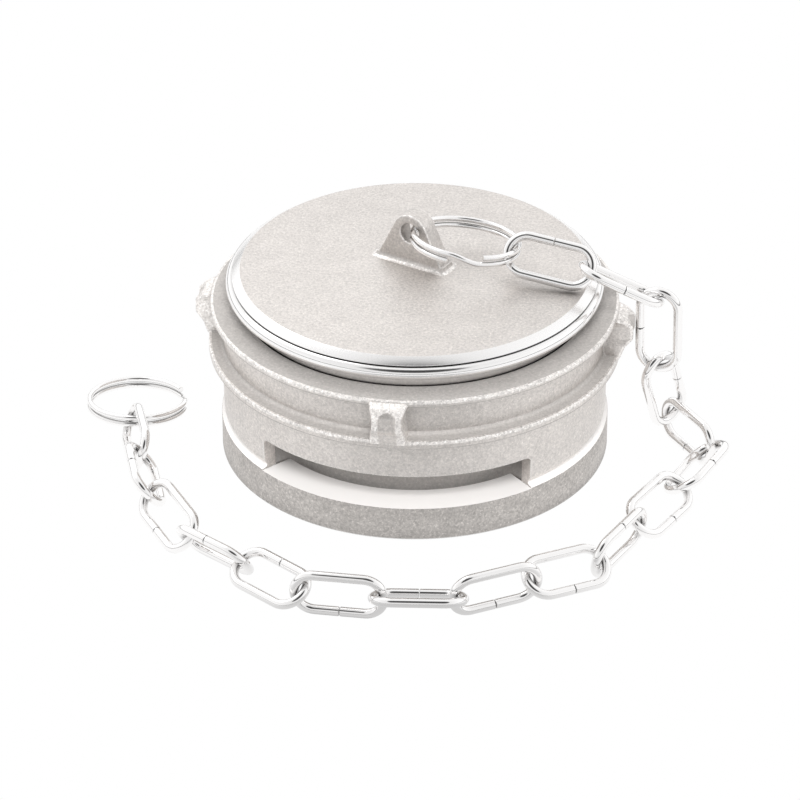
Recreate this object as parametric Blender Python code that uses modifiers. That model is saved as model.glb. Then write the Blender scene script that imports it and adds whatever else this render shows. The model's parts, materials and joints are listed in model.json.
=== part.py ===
"""A guillemin coupling cap of the three inch size, with its locking ring, split rings and chain.

Metres, +Z up. The origin is the centre of the locking ring's lower rim, where the cap meets the
coupling that it closes, and the cap's axis is Z. The chain leaves the ear on the lid, goes over
the side at +X, and lies on the ground round the front, which is -Y.
"""

import math

import bmesh
import bpy
import numpy as np
from mathutils import Matrix, Vector

ASSEMBLY = "guillemin_coupling_cap"

# Clearances
RUN_GAP = 0.0003  # between two pieces that seat or turn on each other
CHAIN_GAP = 0.0004  # slack between two links that hang in each other
OVERLAP = 0.001  # how far a shape reaches into the one that it is joined to or cut from

# How finely round shapes are cut
TURN_STEPS = 72
WIRE_RESOLUTION = 2
BOW_STEPS = 7

# Lid and body
LID_RISE = 0.0103  # from the web's top up to the lid's
LID_LAND = 0.0003
LID_CHAMFER = 0.0025
LID_EDGE_DROP = 0.0017
LID_EDGE_LAND = 0.0003
LID_THICKNESS = 0.0065
NECK_STEP = 0.0060
NECK_TAIL = 0.0017
SKIRT_WALL = 0.0013
CAVITY_RADIUS = 0.0395
CAVITY_FILLET = 0.006
BODY_FACE = 0.0012
SHOULDER_SLOPE = 0.0060

# Ear on the lid
EAR_SETBACK = 0.0645  # from the ring's rib at the right, so that the chain clears the rib
EAR_ASIDE = 0.0045
EAR_HEADING = math.radians(-24)
EAR_LENGTH = 0.0236
EAR_THICKNESS = 0.0060
EAR_HOLE_HEIGHT = 0.0106
EAR_HOLE_DIAMETER = 0.0074
EAR_TOP_RADIUS = 0.0061
EAR_ROOT_FILLET = 0.0014

# Face seal
SEAL_LAND = 0.0022
SEAL_WIDTH = 0.0046
SEAL_DEPTH = 0.0052
SEAL_PROUD = 0.0007
SEAL_LIP = 0.0011

# Wire rings that keep the body in the locking ring
RETAINER_WIRE = 0.0041
RETAINER_CLEARANCE = 0.00055
SNAP_WIRE = 0.0032
RING_OPENING = math.radians(9)

# Locking ring
WEB_THICKNESS = 0.0062
FLANGE_SETBACK = 0.0008  # from the rib's edge
FLANGE_THICKNESS = 0.0021
FLANGE_ROUND = 0.0006
WAIST_WALL = 0.0044
WAIST_HEIGHT = 0.0136
WAIST_FILLET = 0.0012
WALL_CLEARANCE = 0.0014
RIB_REACH = 0.0044
RIB_RISE = 0.0149  # from the windows up to the rib's top
RIB_THICKNESS = 0.0027
RING_SKIRT_WALL = 0.0044
RING_SKIRT_DRAFT = 0.0004
COVE_HEIGHT = 0.0031
COVE_WALL = 0.0029
BAND_STEP = 0.0008
BAND_TOP = 0.0114
BAND_CHAMFER = 0.0005
LEDGE_CLEARANCE = 0.0018
LEDGE_FOOT = 0.0040
LEDGE_RAMP = 0.0015
LEDGE_SPREAD = math.radians(40)
ENTRY_RELIEF = 0.0003
WINDOW_HEIGHT = 0.0108
SILL_DROP = 0.0002
WINDOW_SPREAD = math.radians(43.5)
LUG_COUNT = 4
LUG_SHOULDER_REACH = 0.0018
LUG_FACE_REACH = 0.0024
LUG_ROOT_WIDTH = 0.0116
LUG_FACE_WIDTH = 0.0074
LUG_FACE_DROP = 0.0035
LUG_FACE_RISE = 0.0054
LUG_TOP_DROP = 0.0014

# Split rings
EAR_RING_OUTER = 0.0345
END_RING_OUTER = 0.0320
SPLIT_WIRE = 0.0018
SPLIT_STEPS_A_TURN = 24
SPLIT_STEP_ANGLE = math.radians(26)
SPLIT_END_ANGLE = math.radians(22)

# Chain
LINK_WIRE = 0.0030
LINK_LENGTH = 0.0300
LINK_WIDTH = 0.0150
# The lay of each link, in degrees: its heading, its dip below level, and its lean about its length
CHAIN_LAY = [
    (-10, 6, 50),
    (10, 28, -13),
    (54, 89, -24),
    (62, 69, -77),
    (-54, -1, 87),
    (-112, 3, 29),
    (-116, 1, -40),
    (-116, 3, 81),
    (-144, -4, -33),
    (-152, 2, 83),
    (-176, 1, 20),
    (177, 1, -91),
    (143, 1, -29),
    (144, 2, 56),
    (126, -6, -50),
    (107, 1, 50),
    (107, 4, -69),
]
EAR_RING_LAY = (-11, 4, -10)
END_RING_LAY = (90, 7, 0)
HOLE_SLACK = 0.0003

# Radii and places that follow from the sizes above, from the cavity outwards and from the face up
SEAL_INNER = CAVITY_RADIUS + SEAL_LAND
SEAL_OUTER = SEAL_INNER + SEAL_WIDTH
SKIRT_RADIUS = SEAL_OUTER + SKIRT_WALL
NECK_RADIUS = SKIRT_RADIUS + NECK_STEP
LID_RADIUS = NECK_RADIUS + LID_LAND
RETAINER_RADIUS = NECK_RADIUS + RETAINER_CLEARANCE + RETAINER_WIRE / 2
LEDGE_BORE = SKIRT_RADIUS + LEDGE_CLEARANCE
WALL_BORE = NECK_RADIUS + WALL_CLEARANCE
COVE_RADIUS = WALL_BORE + COVE_WALL
WAIST_RADIUS = WALL_BORE + WAIST_WALL
RIB_RADIUS = WAIST_RADIUS + RIB_REACH
FLANGE_RADIUS = RIB_RADIUS - FLANGE_SETBACK
SKIRT_FOOT_RADIUS = WALL_BORE + RING_SKIRT_WALL
SKIRT_TOP_RADIUS = SKIRT_FOOT_RADIUS + RING_SKIRT_DRAFT
BAND_RADIUS = SKIRT_FOOT_RADIUS + BAND_STEP
LUG_SHOULDER = RIB_RADIUS + LUG_SHOULDER_REACH
LUG_REACH = LUG_SHOULDER + LUG_FACE_REACH
WINDOW_TOP = BAND_TOP + WINDOW_HEIGHT
RIB_TOP = WINDOW_TOP + RIB_RISE
WEB_TOP = RIB_TOP + WAIST_HEIGHT
LID_TOP = WEB_TOP + LID_RISE
LUG_FACE_TOP = WEB_TOP - LUG_FACE_DROP
LUG_FACE_FOOT = RIB_TOP + LUG_FACE_RISE
EAR_CENTRE = Vector((RIB_RADIUS - EAR_SETBACK, EAR_ASIDE))
LID_UNDER = LID_TOP - LID_EDGE_DROP - LID_EDGE_LAND
RETAINER_HEIGHT = LID_UNDER - RUN_GAP - RETAINER_WIRE / 2
WEB_FOOT = WEB_TOP - WEB_THICKNESS
SNAP_HEIGHT = WEB_FOOT - RUN_GAP - SNAP_WIRE / 2
SNAP_RADIUS = WALL_BORE - RUN_GAP - SNAP_WIRE / 2
NECK_FOOT = SNAP_HEIGHT - SNAP_WIRE / 2 - RUN_GAP - NECK_TAIL
SEAL_ROOF = BODY_FACE + SEAL_DEPTH

# Finishes
CAST_STEEL = ("cast_steel", (0.62, 0.61, 0.59), 0.55, 1.0)
SPRING_WIRE = ("spring_wire", (0.78, 0.77, 0.74), 0.22, 1.0)
POLISHED_WIRE = ("polished_wire", (0.86, 0.85, 0.82), 0.14, 1.0)
SEAL_RUBBER = ("seal_rubber", (0.02, 0.02, 0.02), 0.70, 0.0)


def clear_scene():
    """Take out whatever the scene held."""
    for found in list(bpy.data.objects):
        bpy.data.objects.remove(found, do_unlink=True)


def new_collection(name):
    """A collection under the scene's own."""
    made = bpy.data.collections.new(name)
    bpy.context.scene.collection.children.link(made)
    return made


def finish(obj, look):
    """Give the object a Principled material made from (name, colour, roughness, metallic)."""
    name, colour, roughness, metallic = look
    material = bpy.data.materials.get(name)
    if material is None:
        material = bpy.data.materials.new(name)
        material.use_nodes = True
        shader = material.node_tree.nodes["Principled BSDF"]
        shader.inputs["Base Color"].default_value = (*colour, 1)
        shader.inputs["Roughness"].default_value = roughness
        shader.inputs["Metallic"].default_value = metallic
    obj.data.materials.clear()
    obj.data.materials.append(material)


def shade_round(mesh):
    """Smooth shading that keeps edges over 35 degrees sharp."""
    mesh.shade_smooth()
    mesh.set_sharp_from_angle(angle=math.radians(35))


def make_cutter(obj):
    """Keep a helper shape out of the render."""
    obj.hide_render = True
    obj.display_type = "WIRE"


def turned(name, profile, collection):
    """A turned solid: a closed outline of (radius, height) points, swept round Z."""
    mesh = bpy.data.meshes.new(name)
    points = [(radius, 0, height) for radius, height in profile]
    on_axis = profile[0][0] == 0 and profile[-1][0] == 0
    count = len(points)
    edges = [(i, i + 1) for i in range(count - 1)]
    if not on_axis:
        edges.append((count - 1, 0))
    mesh.from_pydata(points, edges, [])
    obj = bpy.data.objects.new(name, mesh)
    collection.objects.link(obj)
    screw = obj.modifiers.new("turn", "SCREW")
    screw.steps = screw.render_steps = TURN_STEPS
    screw.use_merge_vertices = True
    screw.merge_threshold = 0.00001
    screw.use_smooth_shade = True
    return obj


def wire(name, points, diameter, cyclic, collection):
    """A round wire along the points, as a curve with a bevel and filled caps."""
    curve = bpy.data.curves.new(name, "CURVE")
    curve.dimensions = "3D"
    curve.bevel_depth = diameter / 2
    curve.bevel_resolution = WIRE_RESOLUTION
    curve.use_fill_caps = True
    spline = curve.splines.new("POLY")
    spline.points.add(len(points) - 1)
    spline.points.foreach_set("co", np.column_stack([points, np.ones(len(points))]).ravel())
    spline.use_cyclic_u = cyclic
    obj = bpy.data.objects.new(name, curve)
    collection.objects.link(obj)
    return obj


def outline_solid(name, loops, thickness, collection):
    """A flat outline, with its holes, made thickness thick about its own plane, as a mesh."""
    curve = bpy.data.curves.new(name, "CURVE")
    curve.dimensions = "2D"
    curve.fill_mode = "BOTH"
    curve.extrude = thickness / 2
    for loop in loops:
        spline = curve.splines.new("POLY")
        spline.points.add(len(loop) - 1)
        flat = np.column_stack([loop, np.zeros(len(loop)), np.ones(len(loop))])
        spline.points.foreach_set("co", flat.ravel())
        spline.use_cyclic_u = True
    guide = bpy.data.objects.new(name + "_outline", curve)
    collection.objects.link(guide)
    bpy.context.view_layer.update()
    graph = bpy.context.evaluated_depsgraph_get()
    mesh = bpy.data.meshes.new_from_object(guide.evaluated_get(graph))
    bpy.data.objects.remove(guide, do_unlink=True)
    bm = bmesh.new()
    bm.from_mesh(mesh)
    bmesh.ops.remove_doubles(bm, verts=bm.verts, dist=0.000001)
    bmesh.ops.recalc_face_normals(bm, faces=bm.faces)
    bm.to_mesh(mesh)
    bm.free()
    obj = bpy.data.objects.new(name, mesh)
    collection.objects.link(obj)
    return obj


def arc(radius, start, end, steps, centre=(0, 0)):
    """Points on an arc from start to end, in radians, both ends included."""
    angles = np.linspace(start, end, steps + 1)
    return np.column_stack([centre[0] + radius * np.cos(angles), centre[1] + radius * np.sin(angles)])


def boolean(obj, other, operation):
    """Join the other shape to the object, or cut it out."""
    modifier = obj.modifiers.new(other.name, "BOOLEAN")
    modifier.operation = operation
    modifier.solver = "EXACT"
    modifier.object = other


def sector(name, inner, outer, spread, foot, top, facing, collection):
    """A piece of a thick pipe wall, spread to both sides of the facing angle, as a cutter."""
    steps = max(4, round(spread / math.radians(5)))
    near = arc(inner, facing - spread, facing + spread, 2 * steps)
    far = arc(outer, facing + spread, facing - spread, 2 * steps)
    obj = outline_solid(name, [np.vstack([near, far])], top - foot, collection)
    obj.location.z = (foot + top) / 2
    make_cutter(obj)
    return obj


def body_profile():
    """Half the outline of the cap body, from the lid's centre round to the cavity's roof."""
    lid_edge = LID_RADIUS + LID_CHAMFER
    groove = SNAP_RADIUS - SNAP_WIRE / 2 - RUN_GAP
    groove_half = SNAP_WIRE / 2 + RUN_GAP
    shoulder_foot = NECK_FOOT - SHOULDER_SLOPE
    roof = LID_TOP - LID_THICKNESS
    cavity_corner = arc(
        CAVITY_FILLET,
        0,
        math.pi / 2,
        2,
        (CAVITY_RADIUS - CAVITY_FILLET, roof - CAVITY_FILLET),
    )
    return [
        (0, LID_TOP),
        (LID_RADIUS, LID_TOP),
        (lid_edge, LID_TOP - LID_EDGE_DROP),
        (lid_edge, LID_UNDER),
        (NECK_RADIUS, LID_UNDER),
        (NECK_RADIUS, SNAP_HEIGHT + groove_half),
        (groove, SNAP_HEIGHT + groove_half),
        (groove, SNAP_HEIGHT - groove_half),
        (NECK_RADIUS, SNAP_HEIGHT - groove_half),
        (NECK_RADIUS, NECK_FOOT),
        (SKIRT_RADIUS, shoulder_foot),
        (SKIRT_RADIUS, BODY_FACE),
        (SEAL_OUTER, BODY_FACE),
        (SEAL_OUTER, SEAL_ROOF),
        (SEAL_INNER, SEAL_ROOF),
        (SEAL_INNER, BODY_FACE),
        (CAVITY_RADIUS, BODY_FACE),
        *[tuple(point) for point in cavity_corner],
        (0, roof),
    ]


def ear_frame():
    """Where the ear stands: its length along X, its height along Y and its thickness along Z."""
    along = Vector((math.cos(EAR_HEADING), math.sin(EAR_HEADING), 0))
    up = Vector((0, 0, 1))
    through = along.cross(up)
    place = Matrix((along, up, through)).transposed().to_4x4()
    place.translation = (EAR_CENTRE.x, EAR_CENTRE.y, LID_TOP)
    return place


def ear_plate(collection):
    """The ear: straight flanks that meet the round top, with its hole."""
    half = EAR_LENGTH / 2
    slant = math.hypot(half, EAR_HOLE_HEIGHT)
    tangent = math.atan2(EAR_HOLE_HEIGHT, half) + math.acos(EAR_TOP_RADIUS / slant)
    start = tangent - math.pi / 2 if tangent > math.pi / 2 else 0
    top = arc(EAR_TOP_RADIUS, start, math.pi - start, 12, (0, EAR_HOLE_HEIGHT))
    foot = [(-half, 0), (-half, -OVERLAP), (half, -OVERLAP), (half, 0)]
    hole = arc(EAR_HOLE_DIAMETER / 2, 0, 2 * math.pi, 20, (0, EAR_HOLE_HEIGHT))[:-1]
    plate = outline_solid("ear_plate", [np.vstack([top, foot]), hole], EAR_THICKNESS, collection)
    plate.matrix_world = ear_frame()
    make_cutter(plate)
    return plate


def ear_root(collection):
    """The fillet at the ear's foot, as a low block whose sides lean in."""
    bm = bmesh.new()
    bmesh.ops.create_cube(bm, size=1)
    for vert in bm.verts:
        spread = EAR_ROOT_FILLET if vert.co.y < 0 else RUN_GAP
        height = EAR_ROOT_FILLET if vert.co.y > 0 else -OVERLAP / 2
        vert.co = (
            math.copysign(EAR_LENGTH / 2 + spread, vert.co.x),
            height,
            math.copysign(EAR_THICKNESS / 2 + spread, vert.co.z),
        )
    mesh = bpy.data.meshes.new("ear_root")
    bm.to_mesh(mesh)
    bm.free()
    obj = bpy.data.objects.new("ear_root", mesh)
    collection.objects.link(obj)
    obj.matrix_world = ear_frame()
    make_cutter(obj)
    return obj


def build_body(parts, helpers):
    """The cap body: the lid with its ear, the neck, and the skirt that carries the seal."""
    body = turned("cap_body", body_profile(), parts)
    boolean(body, ear_root(helpers), "UNION")
    boolean(body, ear_plate(helpers), "UNION")
    finish(body, CAST_STEEL)
    return body


def ring_profile():
    """The outline of the locking ring's section, from the top of its web down the outside."""
    web_bore = NECK_RADIUS + RUN_GAP
    flange_foot = WEB_TOP - FLANGE_THICKNESS
    rib_foot = RIB_TOP - RIB_THICKNESS
    return [
        (web_bore, WEB_TOP),
        (FLANGE_RADIUS - FLANGE_ROUND, WEB_TOP),
        (FLANGE_RADIUS, WEB_TOP - FLANGE_ROUND),
        (FLANGE_RADIUS, flange_foot),
        (WAIST_RADIUS + WAIST_FILLET, flange_foot - FLANGE_ROUND),
        (WAIST_RADIUS, flange_foot - FLANGE_ROUND - WAIST_FILLET),
        (WAIST_RADIUS, RIB_TOP + WAIST_FILLET),
        (WAIST_RADIUS + WAIST_FILLET, RIB_TOP),
        (RIB_RADIUS - FLANGE_ROUND, RIB_TOP),
        (RIB_RADIUS, RIB_TOP - FLANGE_ROUND),
        (RIB_RADIUS, rib_foot + FLANGE_ROUND),
        (RIB_RADIUS - FLANGE_ROUND, rib_foot),
        (SKIRT_TOP_RADIUS, rib_foot - FLANGE_ROUND),
        (SKIRT_FOOT_RADIUS, BAND_TOP + COVE_HEIGHT),
        (COVE_RADIUS, BAND_TOP + FLANGE_ROUND),
        (BAND_RADIUS, BAND_TOP),
        (BAND_RADIUS, BAND_CHAMFER),
        (BAND_RADIUS - BAND_CHAMFER, 0),
        (WALL_BORE, 0),
        (WALL_BORE, LEDGE_FOOT - LEDGE_RAMP),
        (LEDGE_BORE, LEDGE_FOOT),
        (LEDGE_BORE, BAND_TOP),
        (WALL_BORE, BAND_TOP),
        (WALL_BORE, WEB_FOOT),
        (web_bore, WEB_FOOT),
    ]


def lug(name, facing, collection):
    """A spanner lug: its side outline in (radius, height), narrower towards its outer face."""
    root = WAIST_RADIUS - 2 * OVERLAP
    outline = [
        (root, WEB_TOP - RUN_GAP),
        (FLANGE_RADIUS, WEB_TOP - RUN_GAP),
        (LUG_SHOULDER, WEB_TOP - LUG_TOP_DROP),
        (LUG_REACH, LUG_FACE_TOP),
        (LUG_REACH, LUG_FACE_FOOT),
        (LUG_SHOULDER, RIB_TOP + RIB_THICKNESS),
        (RIB_RADIUS + RUN_GAP, RIB_TOP - RIB_THICKNESS / 2),
        (root, RIB_TOP - RIB_THICKNESS / 2),
    ]
    taper = (LUG_FACE_WIDTH - LUG_ROOT_WIDTH) / 2 / (LUG_REACH - WAIST_RADIUS)
    bm = bmesh.new()
    sides = []
    for side in (-1, 1):
        verts = []
        for radius, height in outline:
            half = LUG_ROOT_WIDTH / 2 + taper * (radius - WAIST_RADIUS)
            verts.append(bm.verts.new((radius, side * half, height)))
        sides.append(verts)
        bm.faces.new(verts)
    count = len(outline)
    for i in range(count):
        after = (i + 1) % count
        bm.faces.new((sides[0][i], sides[0][after], sides[1][after], sides[1][i]))
    bmesh.ops.recalc_face_normals(bm, faces=bm.faces)
    mesh = bpy.data.meshes.new(name)
    bm.to_mesh(mesh)
    bm.free()
    obj = bpy.data.objects.new(name, mesh)
    collection.objects.link(obj)
    obj.rotation_euler.z = facing
    make_cutter(obj)
    return obj


def build_locking_ring(parts, helpers):
    """The locking ring: one casting, with two windows, two cam ledges and four spanner lugs."""
    ring = turned("locking_ring", ring_profile(), parts)
    front = -math.pi / 2
    for index in range(LUG_COUNT):
        facing = front + index * 2 * math.pi / LUG_COUNT
        boolean(ring, lug(f"lug_{index + 1}", facing, helpers), "UNION")
    gap_spread = math.pi / 2 - LEDGE_SPREAD
    for index, side in enumerate(("front", "rear")):
        facing = front + index * math.pi
        window = sector(
            f"window_{side}",
            LEDGE_BORE - OVERLAP,
            RIB_RADIUS + OVERLAP,
            WINDOW_SPREAD,
            BAND_TOP - SILL_DROP,
            WINDOW_TOP,
            facing,
            helpers,
        )
        boolean(ring, window, "DIFFERENCE")
    for index, side in enumerate(("right", "left")):
        entry = sector(
            f"entry_{side}",
            LEDGE_BORE - OVERLAP,
            WALL_BORE + ENTRY_RELIEF,
            gap_spread,
            -OVERLAP,
            BAND_TOP + OVERLAP,
            index * math.pi,
            helpers,
        )
        boolean(ring, entry, "DIFFERENCE")
    finish(ring, CAST_STEEL)
    return ring


def open_ring(name, radius, diameter, height, steps, look, collection):
    """A round wire ring with a gap at the rear."""
    rear = math.pi / 2
    path = arc(radius, rear + RING_OPENING / 2, rear + 2 * math.pi - RING_OPENING / 2, steps)
    points = np.column_stack([path, np.full(len(path), height)])
    ring = wire(name, points, diameter, False, collection)
    finish(ring, look)
    return ring


def build_seal(parts):
    """The face seal: a square ring with a rounded lip that stands proud of the body's face."""
    inner = SEAL_INNER + RUN_GAP
    outer = SEAL_OUTER - RUN_GAP
    middle = (inner + outer) / 2
    roof = SEAL_ROOF - RUN_GAP
    lip_root = BODY_FACE + SEAL_PROUD
    profile = [
        (inner, roof),
        (outer, roof),
        (outer, lip_root),
        (middle + SEAL_LIP, BODY_FACE - SEAL_PROUD / 2),
        (middle, BODY_FACE - SEAL_PROUD),
        (middle - SEAL_LIP, BODY_FACE - SEAL_PROUD / 2),
        (inner, lip_root),
    ]
    seal = turned("face_seal", profile, parts)
    finish(seal, SEAL_RUBBER)
    return seal


def lay_frame(heading, dip, lean, pin):
    """A frame at the pin: X along the piece, Y across it in its own plane, Z square to it."""
    heading, dip, lean = (math.radians(angle) for angle in (heading, dip, lean))
    along = Vector((math.cos(heading) * math.cos(dip), math.sin(heading) * math.cos(dip), -math.sin(dip)))
    level = Vector((-math.sin(heading), math.cos(heading), 0))
    above = along.cross(level)
    across = level * math.cos(lean) + above * math.sin(lean)
    frame = Matrix((along, across, along.cross(across))).transposed().to_4x4()
    frame.translation = pin
    return frame


def link_path(setback):
    """The middle of a link's wire: two straight sides and two half round bows."""
    bow = (LINK_WIDTH - LINK_WIRE) / 2
    half = (LINK_LENGTH - LINK_WIRE) / 2 - bow
    centre = half + bow - setback
    far = arc(bow, -math.pi / 2, math.pi / 2, BOW_STEPS, (centre + half, 0))
    near = arc(bow, math.pi / 2, 3 * math.pi / 2, BOW_STEPS, (centre - half, 0))
    path = np.vstack([far, near])
    return np.column_stack([path, np.zeros(len(path))])


def split_ring_path(outer, setback):
    """The middle of a split ring's wire: two flat turns, one above the other, with a step between.

    The step stands at the side of the ring, a quarter turn from the piece that it hangs in.
    """
    radius = (outer - SPLIT_WIRE) / 2
    lift = (SPLIT_WIRE + RUN_GAP) / 2
    angles = np.linspace(SPLIT_END_ANGLE, 4 * math.pi - SPLIT_END_ANGLE, 2 * SPLIT_STEPS_A_TURN)
    share = np.clip((angles - 2 * math.pi) / SPLIT_STEP_ANGLE + 0.5, 0, 1)
    rise = share * share * (3 - 2 * share)
    turn = angles - math.pi / 2
    return np.column_stack([
        radius - setback + radius * np.cos(turn),
        radius * np.sin(turn),
        lift * (1 - 2 * rise),
    ])


def hang(obj, world, parent=None, parent_world=None):
    """Place the piece at its pin, under the piece that it hangs from."""
    if parent is None:
        obj.matrix_world = world
        return
    obj.parent = parent
    obj.matrix_local = parent_world.inverted() @ world


def build_chain(parts):
    """The ear's split ring, the chain and the split ring at its end, each hung on the one before.

    A piece's pin is the middle of the wire that it hangs on, so the pieces keep one clearance
    at any bend. Inside a link the next wire lies one setback from the end of the link.
    """
    hole = ear_frame() @ Vector((0, EAR_HOLE_HEIGHT, 0))
    ring_radius = (EAR_RING_OUTER - SPLIT_WIRE) / 2
    ear_lay = lay_frame(*EAR_RING_LAY, hole)
    ear_ring = wire("ear_split_ring", split_ring_path(EAR_RING_OUTER, -HOLE_SLACK), SPLIT_WIRE, False, parts)
    finish(ear_ring, POLISHED_WIRE)
    hang(ear_ring, ear_lay)

    link_setback = LINK_WIRE + CHAIN_GAP
    bow = (LINK_WIDTH - LINK_WIRE) / 2
    reach = bow - (LINK_WIRE + SPLIT_WIRE) / 2 - CHAIN_GAP
    ring_setback = bow - math.sqrt(reach ** 2 - ((SPLIT_WIRE + RUN_GAP) / 2) ** 2)
    pitch = LINK_LENGTH - LINK_WIRE - link_setback
    pin = ear_lay @ Vector((HOLE_SLACK + 2 * ring_radius, 0, 0))
    parent, parent_world = ear_ring, ear_lay
    path = link_path(link_setback)
    shared = None
    for number, lay in enumerate(CHAIN_LAY, start=1):
        world = lay_frame(*lay, pin)
        if number == 1:
            world.translation = world @ Vector((link_setback - ring_setback, 0, 0))
        link = wire(f"chain_link_{number:02d}", path, LINK_WIRE, True, parts)
        finish(link, POLISHED_WIRE)
        hang(link, world, parent, parent_world)
        pin = world @ Vector((pitch, 0, 0))
        parent, parent_world = link, world

    end_ring = wire("end_split_ring", split_ring_path(END_RING_OUTER, ring_setback), SPLIT_WIRE, False, parts)
    finish(end_ring, POLISHED_WIRE)
    hang(end_ring, lay_frame(*END_RING_LAY, pin), parent, parent_world)


def main():
    clear_scene()
    parts = new_collection(ASSEMBLY)
    helpers = new_collection("cutters")
    build_body(parts, helpers)
    build_locking_ring(parts, helpers)
    open_ring(
        "retaining_ring",
        RETAINER_RADIUS,
        RETAINER_WIRE,
        RETAINER_HEIGHT,
        TURN_STEPS - 2,
        SPRING_WIRE,
        parts,
    )
    open_ring("snap_ring", SNAP_RADIUS, SNAP_WIRE, SNAP_HEIGHT, TURN_STEPS // 2, SPRING_WIRE, parts)
    build_seal(parts)
    build_chain(parts)
    for obj in parts.objects:
        if obj.type == "MESH":
            shade_round(obj.data)


main()
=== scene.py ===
# %% [markdown]
# # A coupling cap with its chain
#
# The CAD frame gives the size and place of every piece. This script gives each piece its finish:
# blasted castings, turned edges, bright wire. Lengths are in metres, Z is up, and the cap's axis
# is Z. Each cell makes one kind of piece and prints what it made.

# %% Tools and the frame
import json
import math

import bmesh
import bpy
import numpy as np
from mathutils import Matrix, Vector

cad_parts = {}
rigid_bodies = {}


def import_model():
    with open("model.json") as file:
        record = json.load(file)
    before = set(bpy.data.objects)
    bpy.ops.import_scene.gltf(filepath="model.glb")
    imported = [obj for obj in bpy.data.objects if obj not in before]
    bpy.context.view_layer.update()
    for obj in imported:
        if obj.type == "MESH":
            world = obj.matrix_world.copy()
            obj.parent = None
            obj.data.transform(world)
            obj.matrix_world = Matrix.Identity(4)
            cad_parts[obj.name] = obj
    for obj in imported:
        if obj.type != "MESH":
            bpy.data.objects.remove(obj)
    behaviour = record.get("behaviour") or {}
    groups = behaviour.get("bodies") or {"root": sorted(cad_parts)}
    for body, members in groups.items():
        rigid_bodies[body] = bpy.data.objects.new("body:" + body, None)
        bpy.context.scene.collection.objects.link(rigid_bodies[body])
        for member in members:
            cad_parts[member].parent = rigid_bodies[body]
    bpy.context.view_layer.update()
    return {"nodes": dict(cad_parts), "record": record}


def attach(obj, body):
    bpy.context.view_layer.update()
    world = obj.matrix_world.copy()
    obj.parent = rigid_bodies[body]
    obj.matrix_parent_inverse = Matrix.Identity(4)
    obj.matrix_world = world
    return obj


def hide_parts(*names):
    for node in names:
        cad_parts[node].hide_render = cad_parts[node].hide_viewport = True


MM = 0.001
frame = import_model()
RECORD = frame["record"]
FRAME_NODES = frame["nodes"]

# %% [markdown]
# ## Sizes
#
# These are the CAD's sizes in millimetres, written again so that the fine shapes follow them. The
# hook gaps, the lugs' widths and the ear's hole and foot were set a little nearer to the photograph.
# A corner is (radius, height, rounding, slot): the slot is the finish of the face that follows. A
# wall is (inner radius, outer radius), heights are (foot, top), and a spread is in degrees to each
# side. The lugs' widths are those at the flange's edge and at their outer face.

# %% Sizes of the turned pieces
STEPS = 288
SLOT_COUNT = 6
# The fourth slot paints shade with a darker casting; the sixth is a lighter casting for rubbed edges with a
# painted highlight.
CAST, TURNED, BAND, PAINTED_SHADE, SILL, RUBBED_HIGHLIGHT = range(SLOT_COUNT)
BODY_CORNERS = [
    (0, 61.0, 0, CAST),
    (53.9, 61.0, 0.12, TURNED),
    (56.4, 59.3, 0.15, TURNED),
    (56.4, 59.0, 0.1, TURNED),
    (53.6, 59.0, 0.2, TURNED),
    (53.6, 44.5, 0.1, TURNED),
    (51.2, 44.5, 0.1, TURNED),
    (51.2, 40.7, 0.1, TURNED),
    (53.6, 40.7, 0.1, TURNED),
    (53.6, 39.0, 0.8, CAST),
    # the skirt seen through the windows, in painted shade
    (47.6, 33.0, 1.2, PAINTED_SHADE),
    (47.6, 1.2, 0.3, TURNED),
    (46.3, 1.2, 0.15, TURNED),
    (46.3, 6.4, 0.2, TURNED),
    (41.7, 6.4, 0.2, TURNED),
    (41.7, 1.2, 0.15, TURNED),
    (39.5, 1.2, 0.3, CAST),
    (39.5, 54.5, 6.0, CAST),
    (0, 54.5, 0, CAST),
]
RING_CORNERS = [
    # The web under the wire ring, the flange's underside, the rib's top and the rib's underside are in
    # painted shade.
    (53.9, 50.7, 0.2, PAINTED_SHADE),
    # the flange's edge, and below it the rib's edge, are rubbed and lighter, with a painted highlight
    (62.2, 50.7, 0, RUBBED_HIGHLIGHT),
    (63.0, 50.7, 0.7, RUBBED_HIGHLIGHT),
    (63.0, 49.6, 0, CAST),
    (63.0, 48.6, 0.5, PAINTED_SHADE),
    (61.0, 48.2, 0, CAST),
    (59.4, 47.9, 1.4, CAST),
    (59.4, 37.1, 1.2, PAINTED_SHADE),
    (62.9, 37.1, 0, RUBBED_HIGHLIGHT),
    (63.8, 37.1, 0.6, RUBBED_HIGHLIGHT),
    (63.8, 36.0, 0, CAST),
    (63.8, 34.4, 0.6, PAINTED_SHADE),
    (59.8, 33.9, 0.5, CAST),
    (59.4, 14.5, 0.2, CAST),
    (57.9, 12.0, 0.8, SILL),
    (60.2, 11.4, 0.12, BAND),
    (60.2, 0.3, 0.4, TURNED),
    (59.7, 0.0, 0.3, TURNED),
    (55.0, 0.0, 0.3, CAST),
    (55.0, 2.5, 0.3, CAST),
    (49.4, 4.0, 0.3, TURNED),
    (49.4, 11.4, 0.2, TURNED),
    (55.0, 11.4, 0.3, CAST),
    (55.0, 44.5, 0.8, TURNED),
    (53.9, 44.5, 0.2, TURNED),
]
SEAL_CORNERS = [
    (42.0, 6.1, 0.3, CAST),
    (46.0, 6.1, 0.3, CAST),
    (46.0, 1.9, 0.5, CAST),
    (44.6, 0.5, 0.7, CAST),
    (43.4, 0.5, 0.7, CAST),
    (42.0, 1.9, 0.5, CAST),
]
WINDOW_SPREAD = 43.5
WINDOW_WALL = (48.4, 64.8)
WINDOW_HEIGHTS = (11.2, 22.2)
WINDOW_CORNER = 1.6
ENTRY_SPREAD = 46
ENTRY_WALL = (48.4, 55.3)
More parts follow.
